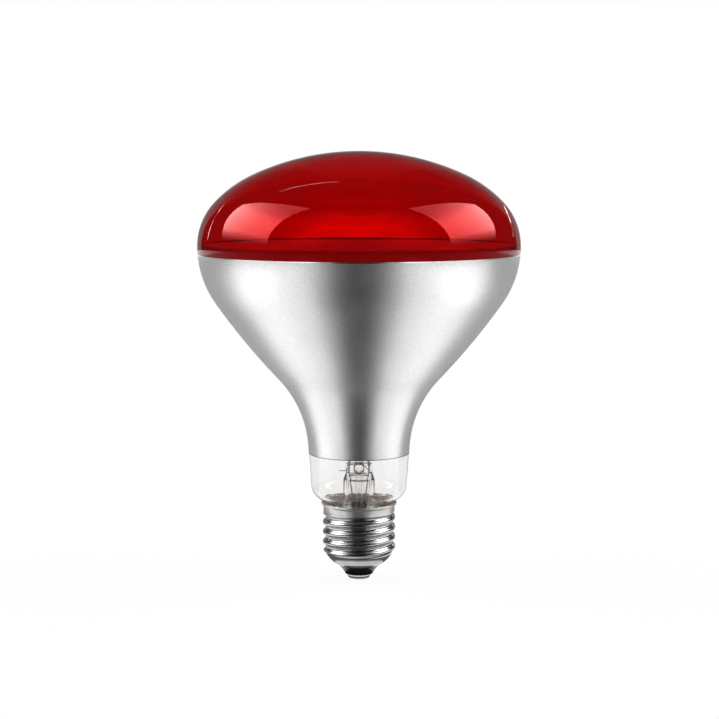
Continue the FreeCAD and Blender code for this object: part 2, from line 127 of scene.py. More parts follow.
def spreadNoise(tree, value, newLow, newHigh):
    return mapRange(tree, value, *noiseRange, newLow, newHigh)


grainTextures = {
    "Grain": {"Detail": 2.0, "Roughness": 0.6},
    "Cloud": {"Detail": 3.0, "Roughness": 0.5},
}


def buildGrainGroup():
    # fine grain with a slow cloud over it, shared by the coats, the plating and the small pieces
    group = bpy.data.node_groups.new("fineGrain", "ShaderNodeTree")
    group.interface.new_socket(name="Vector", in_out="INPUT", socket_type="NodeSocketVector")
    for name in grainTextures:
        for label, way in ((name + " Scale", "INPUT"), (name, "OUTPUT")):
            group.interface.new_socket(name=label, in_out=way, socket_type="NodeSocketFloat")
    entry = group.nodes.new("NodeGroupInput")
    leave = group.nodes.new("NodeGroupOutput")
    for name, values in grainTextures.items():
        texture = addNode(group, "ShaderNodeTexNoise", values)
        group.links.new(entry.outputs["Vector"], texture.inputs["Vector"])
        group.links.new(entry.outputs[name + " Scale"], texture.inputs["Scale"])
        group.links.new(texture.outputs["Fac"], leave.inputs[name])
    return group


grainGroup = buildGrainGroup()


def addGrain(tree, grainScale, cloudScale):
    node = addNode(tree, "ShaderNodeGroup", node_tree=grainGroup)
    node.inputs["Grain Scale"].default_value = grainScale
    node.inputs["Cloud Scale"].default_value = cloudScale
    tree.links.new(objectPoint(tree), node.inputs["Vector"])
    return node.outputs["Grain"], node.outputs["Cloud"]


def stretchedNoise(tree, scale, detail):
    # a noise drawn out along the axis whose scale is the smallest
    stretch = addNode(tree, "ShaderNodeMapping", {"Scale": scale})
    tree.links.new(objectPoint(tree), stretch.inputs["Vector"])
    noise = addNode(tree, "ShaderNodeTexNoise", {"Scale": 1.0, "Detail": detail})
    tree.links.new(stretch.outputs["Vector"], noise.inputs["Vector"])
    return noise.outputs["Fac"]


# Materials
# In each look, scales are the grain's and the cloud's, and a bump is its strength and its depth.

glassLook = {
    "bulbTint": (0.945, 0.945, 0.942, 1),
    "stemTint": (0.94, 0.945, 0.94, 1),
    "beadTint": (0.42, 0.41, 0.39, 1),
    "ior": 1.5,
    "ripple": {"Scale": 45.0, "Detail": 1.0},
    "rippleBump": (0.15, 0.0004),
}


def clearGlass(name, tint):
    # blown glass with very slow ripples in its surface
    mat, tree, shader = newMaterial(name)
    setSockets(shader, {"Base Color": tint, "Roughness": 0.0, "IOR": glassLook["ior"],
                        "Transmission Weight": 1.0})
    ripple = addNode(tree, "ShaderNodeTexNoise", glassLook["ripple"])
    tree.links.new(objectPoint(tree), ripple.inputs["Vector"])
    addBump(tree, shader, ripple.outputs["Fac"], *glassLook["rippleBump"])
    return mat


redLook = {
    "deep": (0.76, 0.008, 0.012, 1),
    "light": (0.95, 0.015, 0.020, 1),
    # the band where the red lies over the silver's top: darker colours and dimmer reflections, painted
    # shade
    "shadedBandDeep": (0.23, 0.002, 0.003, 1),
    "shadedBandLight": (0.35, 0.003, 0.004, 1),
    "shine": (1.0, 0.2, 0.2, 1),
    "shadedBandShine": (0.3, 0.05, 0.05, 1),
    "roughness": 0.015,
    "ior": 1.5,
    "scales": (2600, 30),
    "peelBump": (0.06, 0.0004),
}


def redLacquer(name, deep, light, shine):
    # see-through ruby red with fine sparkling grain and a little orange peel
    mat, tree, shader = newMaterial(name)
    setSockets(shader, {"Roughness": redLook["roughness"], "IOR": redLook["ior"],
                        "Transmission Weight": 1.0, "Specular Tint": shine})
    grain, cloud = addGrain(tree, *redLook["scales"])
    speck = spreadNoise(tree, grain, 0.0, 1.0)
    tree.links.new(mixColours(tree, speck, deep, light), shader.inputs["Base Color"])
    addBump(tree, shader, cloud, *redLook["peelBump"])
    return mat


silverLook = {
    "dark": (0.72, 0.72, 0.725, 1),
    "light": (0.93, 0.93, 0.935, 1),
    "rough": (0.32, 0.38),
    "scales": (2600, 70),
    "bump": (0.25, 0.00006),
    "cutEdge": (0.0002, 0.0004),  # above the coat's lower edge
    "cutShade": 0.3,
    "topEdge": (0.0005, 0.0003),  # below the coat's top edge
    "topGloss": 0.4,
    "inside": (0.88, 0.87, 0.86, 1),
    "insideEdge": (0.10, 0.09, 0.08, 1),
    "insideFade": (0.0009, 0.0004),  # below the top of the silver inside
    "insideGlow": 0.18,
    "insideRough": (0.28, 0.36),
    "insideScales": (700, 40),
    "insideBump": (0.05, 0.00005),
}


def satinSilver():
    # aluminium coat: metal flakes as a fine sparkle, soft roughness
    mat, tree, shader = newMaterial("satinSilver")
    setSockets(shader, {"Metallic": 1.0, "IOR": 1.5})
    grain, cloud = addGrain(tree, *silverLook["scales"])
    speck = spreadNoise(tree, grain, 0.0, 1.0)
    height = objectHeight(tree)
    # the colour darkens to a line along its lower edge, and the coat is smoother at its top edge
    cutFrom, cutTo = silverLook["cutEdge"]
    body = mapRange(tree, height, silverEdge + cutFrom, silverEdge + cutTo, silverLook["cutShade"], 1.0)
    paint = addNode(tree, "ShaderNodeMix", data_type="RGBA", blend_type="MULTIPLY")
    paint.inputs["Factor"].default_value = 1.0
    tree.links.new(mixColours(tree, speck, silverLook["dark"], silverLook["light"]), paint.inputs["A"])
    tree.links.new(body, paint.inputs["B"])
    tree.links.new(paint.outputs["Result"], shader.inputs["Base Color"])
    rough = spreadNoise(tree, cloud, *silverLook["rough"])
    topFrom, topTo = silverLook["topEdge"]
    smooth = mapRange(tree, height, ringHeight - topFrom, ringHeight - topTo,
                      1.0, silverLook["topGloss"])
    tree.links.new(multiply(tree, rough, smooth), shader.inputs["Roughness"])
    addBump(tree, shader, grain, *silverLook["bump"])
    return mat


def silverInside():
    # the same coat seen from inside the bulb, where a faint glow stands for light scattered in the bowl
    mat, tree, shader = newMaterial("silverInside")
    setSockets(shader, {"Metallic": 1.0, "Emission Strength": silverLook["insideGlow"]})
    grain, cloud = addGrain(tree, *silverLook["insideScales"])
    # colour and glow go dark along its upper edge
    fadeFrom, fadeTo = silverLook["insideFade"]
    edge = mapRange(tree, objectHeight(tree), innerSilverTop - fadeFrom, innerSilverTop - fadeTo,
                    0.0, 1.0)
    paint = mixColours(tree, edge, silverLook["inside"], silverLook["insideEdge"])
    fromOutside = addNode(tree, "ShaderNodeNewGeometry").outputs["Backfacing"]
    for socket, outside in (("Base Color", silverLook["inside"]), ("Emission Color", (0, 0, 0, 1))):
        side = addNode(tree, "ShaderNodeMix", data_type="RGBA")
        side.inputs["B"].default_value = outside
        tree.links.new(fromOutside, side.inputs["Factor"])
        tree.links.new(paint, side.inputs["A"])
        tree.links.new(side.outputs["Result"], shader.inputs[socket])
    tree.links.new(spreadNoise(tree, cloud, *silverLook["insideRough"]), shader.inputs["Roughness"])
    addBump(tree, shader, grain, *silverLook["insideBump"])
    return mat


nickelLook = {
    "base": (0.61, 0.605, 0.597, 1),
    "dull": (0.46, 0.455, 0.447, 1),
    "dullRange": (0.45, 0.75),
    "rough": (0.15, 0.27),
    "scales": (1500, 160),
    "markScale": (60, 60, 4200),
    "markDetail": 2.0,
    "markRange": (0.35, 0.65),
    "markBump": (0.12, 0.00003),
    "skirt": (0.0246, 0.0251),
    "skirtRough": 1.5,
    "skirtMetal": 0.86,
}


def nickelPlate():
    # bright plate over brass with rolling marks and dull patches, satin on the skirt above the thread
    mat, tree, shader = newMaterial("nickelPlate")
    cloud = addGrain(tree, *nickelLook["scales"])[1]
    marks = stretchedNoise(tree, nickelLook["markScale"], nickelLook["markDetail"])
    dullness = mapRange(tree, cloud, *nickelLook["dullRange"], 0.0, 1.0)
    tree.links.new(mixColours(tree, dullness, nickelLook["base"], nickelLook["dull"]),
                   shader.inputs["Base Color"])
    rough = mapRange(tree, marks, *nickelLook["markRange"], *nickelLook["rough"])
    height = objectHeight(tree)
    satin = mapRange(tree, height, *nickelLook["skirt"], 1.0, nickelLook["skirtRough"])
    tree.links.new(multiply(tree, rough, satin), shader.inputs["Roughness"])
    metal = mapRange(tree, height, *nickelLook["skirt"], 1.0, nickelLook["skirtMetal"])
    tree.links.new(metal, shader.inputs["Metallic"])
    addBump(tree, shader, marks, *nickelLook["markBump"])
    return mat


shellInsideLook = {
    "darkStreak": (0.22, 0.16, 0.07, 1),
    "bare": (1.0, 0.93, 0.72, 1),
    "streakScale": (420, 420, 60),
    "streakDetail": 3.0,
    "streakRange": (0.42, 0.60),
    "rough": (0.55, 0.25),
    "bump": (0.3, 0.0001),
}


def bareBrass():
    # the shell's inside, with dark and bright streaks that run down it
    look = shellInsideLook
    mat, tree, shader = newMaterial("shellInside")
    setSockets(shader, {"Metallic": 1.0})
    streaks = stretchedNoise(tree, look["streakScale"], look["streakDetail"])
    share = mapRange(tree, streaks, *look["streakRange"], 0.0, 1.0)
    tree.links.new(mixColours(tree, share, look["darkStreak"], look["bare"]), shader.inputs["Base Color"])
    tree.links.new(spreadNoise(tree, streaks, *look["rough"]), shader.inputs["Roughness"])
    addBump(tree, shader, streaks, *look["bump"])
    return mat


insulatorLook = {
    "sockets": {"IOR": 1.5},
    "colours": ((0.002, 0.002, 0.002, 1), (0.007, 0.007, 0.008, 1)),
    "scales": (1200, 220),
    "rough": (0.06, 0.16),
    "roughBy": "cloud",
    "bump": (0.15, 0.0002),
    "bumpBy": "cloud",
}
solderLook = {
    "sockets": {"Metallic": 1.0},
    "colours": ((0.84, 0.84, 0.83, 1), (0.95, 0.95, 0.94, 1)),
    "scales": (900, 300),
    "rough": (0.16, 0.34),
    "roughBy": "grain",
    "bump": (0.3, 0.0002),
    "bumpBy": "cloud",
}
cementLook = {
    "sockets": {},
    "colours": ((0.50, 0.37, 0.19, 1), (0.82, 0.68, 0.44, 1)),
    "scales": (2200, 350),
    "rough": (0.75, 0.95),
    "roughBy": "grain",
    "bump": (0.7, 0.0002),
    "bumpBy": "grain",
}
# drawn wire and small metal parts share one grain and differ in colour and gloss
wireLook = {
    "sockets": {"Metallic": 1.0},
    "scales": (5000, 700),
    "roughBy": "grain",
    "bump": (0.1, 0.00001),
    "bumpBy": "grain",
}
wireFinishes = {
    "contactBrass": {"colours": ((0.93, 0.91, 0.87, 1), (0.82, 0.79, 0.73, 1)), "rough": (0.12, 0.24)},
    "leadWire": {"colours": ((0.30, 0.27, 0.24, 1), (0.18, 0.15, 0.13, 1)), "rough": (0.3, 0.5)},
    "nickelWire": {"colours": ((0.38, 0.37, 0.35, 1), (0.26, 0.25, 0.24, 1)), "rough": (0.25, 0.42)},
    "copperClad": {"colours": ((0.60, 0.20, 0.13, 1), (0.42, 0.11, 0.07, 1)), "rough": (0.25, 0.45)},
    "tungsten": {"colours": ((0.36, 0.36, 0.37, 1), (0.24, 0.24, 0.25, 1)), "rough": (0.3, 0.5)},
    "molybdenum": {"colours": ((0.46, 0.46, 0.47, 1), (0.34, 0.34, 0.35, 1)), "rough": (0.25, 0.45)},
}


def mottled(name, look):
    # a finish whose colour drifts with the cloud, while grain or cloud sets its gloss and its bumps
    mat, tree, shader = newMaterial(name)
    setSockets(shader, look["sockets"])
    grain, cloud = addGrain(tree, *look["scales"])
    masks = {"grain": grain, "cloud": cloud}
    tree.links.new(mixColours(tree, cloud, *look["colours"]), shader.inputs["Base Color"])
    rough = spreadNoise(tree, masks[look["roughBy"]], *look["rough"])
    tree.links.new(rough, shader.inputs["Roughness"])
    addBump(tree, shader, masks[look["bumpBy"]], *look["bump"])
    return mat


bulbGlass = clearGlass("bulbGlass", glassLook["bulbTint"])
stemGlass = clearGlass("stemGlass", glassLook["stemTint"])
beadGlass = clearGlass("beadGlass", glassLook["beadTint"])
redCoat = redLacquer("redLacquer", redLook["deep"], redLook["light"], redLook["shine"])
# a copy of the lacquer with painted shade, for the band over the silver's top
redBandShaded = redLacquer("redBandShaded", redLook["shadedBandDeep"], redLook["shadedBandLight"], redLook["shadedBandShine"])
silverCoat = satinSilver()
silverBack = silverInside()
nickel = nickelPlate()
shellInside = bareBrass()
insulatorGlass = mottled("blackGlass", insulatorLook)
solder = mottled("solderMetal", solderLook)
cement = mottled("tanCement", cementLook)
wires = {name: mottled(name, {**wireLook, **finish}) for name, finish in wireFinishes.items()}
print("materials made")


# Mesh helpers

# how near is near enough to be on the axis, one vert, no edge at all, one CAD vert, or on a rim
reach = {
    "onAxis": 1e-6,
    "weld": 1e-7,
    "sliver": 1e-8,
    "cadWeld": 4e-6,
    "rim": 1e-5,
}


def finishMesh(name, bm, materials, smoothAngle=35):
    mesh = bpy.data.meshes.new(name)
    bm.to_mesh(mesh)
    bm.free()
    stale = mesh.attributes.get("custom_normal")  # a CAD copy's own normals are lost in the merge
    if stale:
        mesh.attributes.remove(stale)
    for mat in materials:
        mesh.materials.append(mat)
    mesh.shade_smooth()
    mesh.set_sharp_from_angle(angle=radians(smoothAngle))
    piece = bpy.data.objects.new(name, mesh)
    scene.collection.objects.link(piece)
    return piece


def arcPoints(centre, radius, fromAngle, toAngle, count):
    # points of an arc in the radius and height plane, angles in degrees above the horizontal
    points = []
    for i in range(count + 1):
        angle = radians(fromAngle + (toAngle - fromAngle) * i / count)
        points.append((centre[0] + radius * cos(angle), centre[1] + radius * sin(angle)))
    return points


def spinOutline(outline, steps=192, closed=True):
    # turns an outline of (radius, height) pairs round the lamp's axis
    bm = bmesh.new()
    verts = [bm.verts.new((max(r, 0.0), 0, z)) for r, z in outline]
    pairs = list(zip(verts, verts[1:]))
    if closed:
        pairs.append((verts[-1], verts[0]))
    edges = [bm.edges.new(pair) for pair in pairs
             if max(pair[0].co.x, pair[1].co.x) > reach["onAxis"]]
    bmesh.ops.spin(bm, geom=verts + edges, cent=(0, 0, 0), axis=axisUp, angle=2 * pi,
                   steps=steps, use_merge=True)
    bmesh.ops.remove_doubles(bm, verts=bm.verts, dist=reach["weld"])
    bmesh.ops.dissolve_degenerate(bm, edges=bm.edges, dist=reach["sliver"])
    bmesh.ops.recalc_face_normals(bm, faces=bm.faces)
    return bm


def joinRings(bm, ring, after):
    # quads between two rings of as many verts
    made = []
    for i in range(len(ring)):
        k = (i + 1) % len(ring)
        made.append(bm.faces.new((ring[i], ring[k], after[k], after[i])))
    return made


def looksInward(face, limit):
    # whether a face turns to the lamp's axis by more than the limit, a cosine below zero
    centre = face.calc_center_median()
    return face.normal.dot(Vector((centre.x, centre.y, 0)).normalized()) < limit


def mergedCopy(node, name, materials, smoothAngle=35, shape=None):
    # a CAD piece's own form as one joined, smooth mesh, which shape may work on
    bm = bmesh.new()
    bm.from_mesh(nodes[node].data)
    bmesh.ops.remove_doubles(bm, verts=bm.verts, dist=reach["cadWeld"])
    if shape:
        shape(bm)
    piece = finishMesh(name, bm, materials, smoothAngle)
    return place(piece, node)


def place(piece, *replaced):
    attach(piece, "root")
    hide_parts(*replaced)
    return piece


# The bulb's outer glass surface, foot to crown, as tangent runs

bulb = {
    "domeMidRadius": 0.0440,
    "domeTopAngle": 24.9,
    "domeMidAngle": 46.6,
    "lowRadius": 0.0352,
    "lowAngle": 35.0,
    "coneAngle": 43.2,
    "neckFilletRadius": 0.0398,
    "neckFootRadius": 0.0173,
    "neckTaper": 3.55,
    "neckLength": 0.0141,
    "neckAboveCap": 0.00625,
    "bottomRadius": 0.006,
    "entryAngle": 54.8,
    "entryFilletRadius": 0.002,
    "footRadius": 0.0112,
    "wall": 0.001,
    "coat": 0.00015,
    "coatGap": 0.00002,
    "inwardLimit": -0.1,
}


def along(turn):
    return Vector((-sin(radians(turn)), cos(radians(turn))))


def outward(turn):
    return Vector((cos(radians(turn)), sin(radians(turn))))


def straightRun(start, turn, length):
    return {"start": start, "end": start + along(turn) * length, "turns": (turn, turn), "radius": 0}


def roundRun(start, turn, nextTurn, radius):
    centre = start - outward(turn) * radius
    return {"start": start, "end": centre + outward(nextTurn) * radius, "turns": (turn, nextTurn),
            "radius": radius, "centre": centre}


def bulbRuns():
    b = bulb
    entry, taper = radians(b["entryAngle"]), radians(b["neckTaper"])
    bottomRise = b["bottomRadius"] * (sin(entry) - sin(taper))
    bottomWidth = b["bottomRadius"] * (cos(taper) - cos(entry))
    filletWidth = b["entryFilletRadius"] * (1 - cos(entry))
    filletRise = b["entryFilletRadius"] * sin(entry)
    slope = (b["neckFootRadius"] - bottomWidth - filletWidth - b["footRadius"]) / sin(entry)
    footTop = capHeight + b["neckAboveCap"] - bottomRise - slope * cos(entry) - filletRise
    runs = [straightRun(Vector((b["footRadius"], footBottom)), 0, footTop - footBottom)]
    runs.append(roundRun(runs[-1]["end"], 0, -b["entryAngle"], -b["entryFilletRadius"]))
    runs.append(straightRun(runs[-1]["end"], -b["entryAngle"], slope))
    runs.append(roundRun(runs[-1]["end"], -b["entryAngle"], -b["neckTaper"], b["bottomRadius"]))
    runs.append(straightRun(runs[-1]["end"], -b["neckTaper"], b["neckLength"]))
    runs.append(roundRun(runs[-1]["end"], -b["neckTaper"], -b["coneAngle"], -b["neckFilletRadius"]))
    lowWidth = b["lowRadius"] * (1 - cos(radians(b["lowAngle"])))
    coneWidth = bulbRadius - lowWidth - runs[-1]["end"].x
    coneChord = coneWidth / sin(radians((b["coneAngle"] + b["lowAngle"]) / 2))
    coneRadius = coneChord / (2 * sin(radians(b["coneAngle"] - b["lowAngle"]) / 2))
    runs.append(roundRun(runs[-1]["end"], -b["coneAngle"], -b["lowAngle"], coneRadius))
    runs.append(roundRun(runs[-1]["end"], -b["lowAngle"], 0, b["lowRadius"]))
    # the dome's top and shoulder radii close it on the bulb's radius and crown
    lowTurn, highTurn = radians(b["domeTopAngle"]), radians(b["domeMidAngle"])
    width = bulbRadius - b["domeMidRadius"] * (sin(highTurn) - sin(lowTurn))
    rise = crownHeight - runs[-1]["end"].y - b["domeMidRadius"] * (cos(lowTurn) - cos(highTurn))
    scale = sin(lowTurn) * cos(highTurn) - (1 - cos(lowTurn)) * (1 - sin(highTurn))
    topRadius = (width * cos(highTurn) - rise * (1 - sin(highTurn))) / scale
    shoulderRadius = (rise * sin(lowTurn) - width * (1 - cos(lowTurn))) / scale
    midTurn, topTurn = 90 - b["domeMidAngle"], 90 - b["domeTopAngle"]
    runs.append(roundRun(runs[-1]["end"], 0, midTurn, shoulderRadius))
    runs.append(roundRun(runs[-1]["end"], midTurn, topTurn, b["domeMidRadius"]))
    runs.append(roundRun(runs[-1]["end"], topTurn, 90, topRadius))
    return runs


runs = bulbRuns()


def surfaceLine(offset, stepLength=0.0011):
    # the outer glass surface moved outward by offset, as (radius, height) pairs, foot to crown
    line = []
    for run in runs:
        firstTurn, lastTurn = run["turns"]
        if run["radius"]:
            length = abs(run["radius"] * radians(lastTurn - firstTurn))
            count = max(4, round(length / stepLength))
            for i in range(count):
                turn = firstTurn + (lastTurn - firstTurn) * i / count
                point = run["centre"] + outward(turn) * (run["radius"] + offset)
                line.append((point.x, point.y))
        else:
            point = run["start"] + outward(firstTurn) * offset
            line.append((point.x, point.y))
    crown = runs[-1]["end"] + outward(90) * offset
    line.append((0.0, crown.y))
    return line


def cutLine(line, low, high):
    # the stretch of an outline between two heights, with points exactly at both
    kept = []
    for (r0, z0), (r1, z1) in zip(line, line[1:]):
        for level in (low, high):
            if z0 < level < z1:
                share = (level - z0) / (z1 - z0)
                kept.append((r0 + (r1 - r0) * share, level))
        if low < z1 < high:
            kept.append((r1, z1))
    return sorted(set(kept), key=lambda p: p[1])


def glassBulb():
    outside = surfaceLine(0)
    inside = surfaceLine(-bulb["wall"])
    bm = spinOutline(outside + inside[::-1])
    return place(finishMesh("glassBulb", bm, [bulbGlass], 50), "glass_bulb")


def coatPiece(name, node, low, high, silverTop, mats):
    # a thin closed skin on the glass between two heights; mats are the coat, the silver that lies
    # behind it up to silverTop, and the coat in front of that silver, for the red face a darker copy
    # with painted shade
    skins = []
    for offset in (bulb["coat"], bulb["coatGap"]):
        line = surfaceLine(offset)
        skin = cutLine(line, low, silverTop)
        if silverTop < high:
            skin += cutLine(line, silverTop, high)[1:]
        skins.append(skin)
    outside, inside = skins
    bm = spinOutline(outside + inside[::-1])
    for face in bm.faces:
        if face.calc_center_median().z < silverTop:
            face.material_index = 1 if looksInward(face, bulb["inwardLimit"]) else 2
    return place(finishMesh(name, bm, mats, 50), node)


glassBulb()
pastCrown = crownHeight + bulb["wall"]
coatPiece("redFace", "red_face_coating", ringHeight, pastCrown, innerSilverTop,
          [redCoat, silverBack, redBandShaded])
coatPiece("silverBowl", "reflector_coating", silverEdge, ringHeight, ringHeight,
          [silverCoat, silverBack, silverCoat])
print("bulb made")


# Screw cap

cap = {
    "wall": 0.00035,
    "lipHeight": 0.0012,
    "lipRound": 0.00022,
    "lipEase": 0.000055,
    "lipDrop": 0.000132,
    "lipCut": 0.0001,
    "skirtRadius": 0.0129,
    "skirtBottom": 0.0251,
    "majorRadius": 0.01315,
    "minorRadius": 0.01208,
    "pitch": 0.003629,
    "crestHeight": 0.0155,
    "fade": 0.0015,
    "coneTopRadius": 0.012,
    "coneTop": 0.0094,
    "coneFootRadius": 0.0076,
    "coneFoot": 0.00525,
    "coneBulge": 0.00045,
    "conePoints": 14,
    "around": 192,
    "levelsPerPitch": 22,
    "inwardLimit": -0.3,
}


def threadRadius(rise, offset):
    # crest and trough are arcs of one radius that meet tangent at the flank
    depth = cap["majorRadius"] - cap["minorRadius"]
    half = cap["pitch"] / 2
    flank = 2 * asin(depth / hypot(depth, half))
    arc = half / 2 / sin(flank)
    away = abs(rise)
    if away <= (arc + offset) * sin(flank):
        return cap["majorRadius"] - arc + sqrt((arc + offset) ** 2 - away ** 2)
    return cap["minorRadius"] + arc - sqrt((arc - offset) ** 2 - (half - away) ** 2)


def threadFade(height):
    edge = min(height - cap["coneTop"], cap["skirtBottom"] - height) / cap["fade"]
    edge = max(0.0, min(1.0, edge))
    return edge * edge * (3 - 2 * edge)


def shapeThread(bm, offset):
    # pushes the verts of the plain band into the helical thread
    middle = (cap["coneTop"] + cap["skirtBottom"]) / 2
    for vert in bm.verts:
        height = vert.co.z
        if not cap["coneTop"] - reach["onAxis"] <= height <= cap["skirtBottom"] + reach["onAxis"]:
            continue
        angle = atan2(vert.co.y, vert.co.x)
        turns = (height - cap["crestHeight"]) / cap["pitch"] - angle / (2 * pi)
        rise = (turns - round(turns)) * cap["pitch"]
        plain = (cap["skirtRadius"] if height > middle else cap["coneTopRadius"]) + offset
        share = threadFade(height)
        radius = share * threadRadius(rise, offset) + (1 - share) * plain
        vert.co.x, vert.co.y = radius * cos(angle), radius * sin(angle)


def arcThrough(start, end, bulge, count):
    # points along a shallow arc between two points, bulged to the right of its direction
    chord = Vector(end) - Vector(start)
    side = Vector((chord.y, -chord.x)).normalized()
    points = []
    for i in range(1, count):
        share = i / count
        point = Vector(start) + chord * share + side * bulge * 4 * share * (1 - share)
        points.append((point.x, point.y))
    return points


def shellLine(offset):
    # the sheet's outline from the cone's foot to the lip's edge
    levels = round((cap["skirtBottom"] - cap["coneTop"]) / cap["pitch"] * cap["levelsPerPitch"])
    skirtTop = capHeight - cap["lipHeight"]
    out = cap["skirtRadius"] + offset
    lip = lipRadius + offset
    lipFoot = skirtTop + cap["lipHeight"] / 2 - offset / 2
    coneFoot = (cap["coneFootRadius"] + offset, cap["coneFoot"])
    coneTop = (cap["coneTopRadius"] + offset, cap["coneTop"])
    line = [coneFoot] + arcThrough(coneFoot, coneTop, cap["coneBulge"], cap["conePoints"])
    for i in range(levels + 1):
        line.append((out, cap["coneTop"] + (cap["skirtBottom"] - cap["coneTop"]) * i / levels))
    line.append((out, skirtTop - cap["lipRound"]))
    line.append((out + cap["lipEase"], skirtTop - offset / 2))
    line.append((lip - cap["lipEase"], lipFoot - cap["lipDrop"]))
    line.append((lip, lipFoot))
    return line


def screwShell():
    wall, cut = cap["wall"], cap["lipCut"]
    outerEdge = [(lipRadius, capHeight - cut), (lipRadius - cut, capHeight)]
    innerEdge = [(lipRadius - wall, capHeight - cut), (lipRadius - wall + cut, capHeight)]
    outer = spinOutline(shellLine(0) + outerEdge, steps=cap["around"], closed=False)
    shapeThread(outer, 0)
    inner = spinOutline(shellLine(-wall) + innerEdge, steps=cap["around"], closed=False)
    shapeThread(inner, -wall)
    mesh = bpy.data.meshes.new("innerSkin")
    inner.to_mesh(mesh)
    inner.free()
    outer.from_mesh(mesh)
    bpy.data.meshes.remove(mesh)
    rims = [edge for edge in outer.edges if edge.is_boundary]
    for level in (cap["coneFoot"], capHeight):
        ring = [edge for edge in rims if abs(edge.verts[0].co.z - level) < reach["rim"]]
        bmesh.ops.bridge_loops(outer, edges=ring)
    bmesh.ops.recalc_face_normals(outer, faces=outer.faces)
    for face in outer.faces:
        face.material_index = 1 if looksInward(face, cap["inwardLimit"]) else 0
    return place(finishMesh("screwShell", outer, [nickel, shellInside], 40), "cap_screw_shell")


def lampTip():
    # the tip's small turned pieces keep the frame's form, with their meshes joined and smooth
    mergedCopy("cap_insulator", "insulator", [insulatorGlass], 30)
    mergedCopy("centre_contact", "contactEyelet", [wires["contactBrass"]], 30)
    mergedCopy("contact_solder", "contactSolder", [solder], 50)
    mergedCopy("side_solder", "sideSolder", [solder], 50)
    mergedCopy("basing_cement", "basingCement", [cement], 40)


screwShell()
lampTip()
print("cap made")


# Filament: a fine coil along the open ring

coil = {
    "ringRadius": 0.014,
    "height": 0.110,
    "halfSweep": 125.0,
    "coilRadius": 0.00058,
    "wireRadius": 0.00011,
    "pitch": 0.00042,
    "pointsPerTurn": 12,
    "sides": 6,
}


def filamentCoil():
    length = coil["ringRadius"] * radians(2 * coil["halfSweep"])
    turns = round(length / coil["pitch"])
    count = turns * coil["pointsPerTurn"]
    bm = bmesh.new()
    previous = None
    for i in range(count + 1):
        sweep = radians(-90 - coil["halfSweep"] + 2 * coil["halfSweep"] * i / count)
        phase = 2 * pi * turns * i / count
        radial = Vector((cos(sweep), sin(sweep), 0))
        heading = Vector((-sin(sweep), cos(sweep), 0))
        spoke = radial * cos(phase) + axisUp * sin(phase)
        centre = radial * coil["ringRadius"] + axisUp * coil["height"] + spoke * coil["coilRadius"]
        ring = []
        for side in range(coil["sides"]):
            turn = 2 * pi * side / coil["sides"]
            away = spoke * cos(turn) + heading * sin(turn)
            ring.append(bm.verts.new(centre + away * coil["wireRadius"]))
        if previous:
            joinRings(bm, previous, ring)
        else:
            bm.faces.new(ring)
        previous = ring
    bm.faces.new(previous[::-1])
    bmesh.ops.recalc_face_normals(bm, faces=bm.faces)
    return place(finishMesh("filamentCoil", bm, [wires["tungsten"]], 60), "filament")


filamentCoil()

# The glass and wires of the stem keep the frame's form

pressHole = {
    "halfWidth": 0.00175,
    "halfHeight": 0.00205,
    "belowTop": 0.0019,
    "face": 0.00155,
    "bead": 0.00028,
    "around": 48,
    "sides": 12,
}


def meltHole(bm):
    # a thick bead of glass that the flame left round the blown hole, on both faces of the press
    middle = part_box("stem_tube")[1].z - pressHole["belowTop"]
    wide, high = pressHole["halfWidth"], pressHole["halfHeight"]
    for depth in (-pressHole["face"], pressHole["face"]):
        rings = []
        for i in range(pressHole["around"]):
            turn = 2 * pi * i / pressHole["around"]
            centre = Vector((wide * cos(turn), depth, middle + high * sin(turn)))
            spoke = Vector((high * cos(turn), 0, wide * sin(turn))).normalized()
            ring = []
            for side in range(pressHole["sides"]):
                roll = 2 * pi * side / pressHole["sides"]
                away = spoke * cos(roll) + Vector((0, sin(roll), 0))
                ring.append(bm.verts.new(centre + away * pressHole["bead"]))
            rings.append(ring)
        made = []
        for ring, after in zip(rings, rings[1:] + rings[:1]):
            made += joinRings(bm, ring, after)
        bmesh.ops.recalc_face_normals(bm, faces=made)
        for face in made:
            face.material_index = 1


mergedCopy("stem_tube", "stemTube", [stemGlass, beadGlass], shape=meltHole)
for node, name, mat in (
        ("exhaust_tube", "exhaustTube", stemGlass),
        ("arbor_rod", "arborRod", stemGlass),
        ("seal_wire_left", "sealWireLeft", wires["copperClad"]),
        ("seal_wire_right", "sealWireRight", wires["copperClad"]),
        ("inner_lead_left", "innerLeadLeft", wires["nickelWire"]),
        ("inner_lead_right", "innerLeadRight", wires["nickelWire"]),
        ("outer_lead_centre", "outerLeadCentre", wires["leadWire"]),
        ("outer_lead_side", "outerLeadSide", wires["leadWire"]),
        ("filament_clamp_left", "filamentClampLeft", wires["nickelWire"]),
        ("filament_clamp_right", "filamentClampRight", wires["nickelWire"]),
        ("stem_tie_wire", "stemTieWire", wires["nickelWire"]),
        ("support_hook_left", "supportHookLeft", wires["molybdenum"]),
        ("support_hook_centre", "supportHookCentre", wires["molybdenum"]),
        ("support_hook_right", "supportHookRight", wires["molybdenum"])):
    mergedCopy(node, name, [mat])
print("stem and mount made")


# Stage: floor, world, soft panels and the tent that the metal and glass mirror

stage = {
    "floorRadius": 3.0,
    "floorSides": 96,
    "floorColour": (0.9, 0.9, 0.9, 1),
    "floorWhiteNear": 0.93,
    "floorWhiteFar": 1.0,
    "shadowReach": (0.06, 0.35),
    "ambient": 0.6,
}


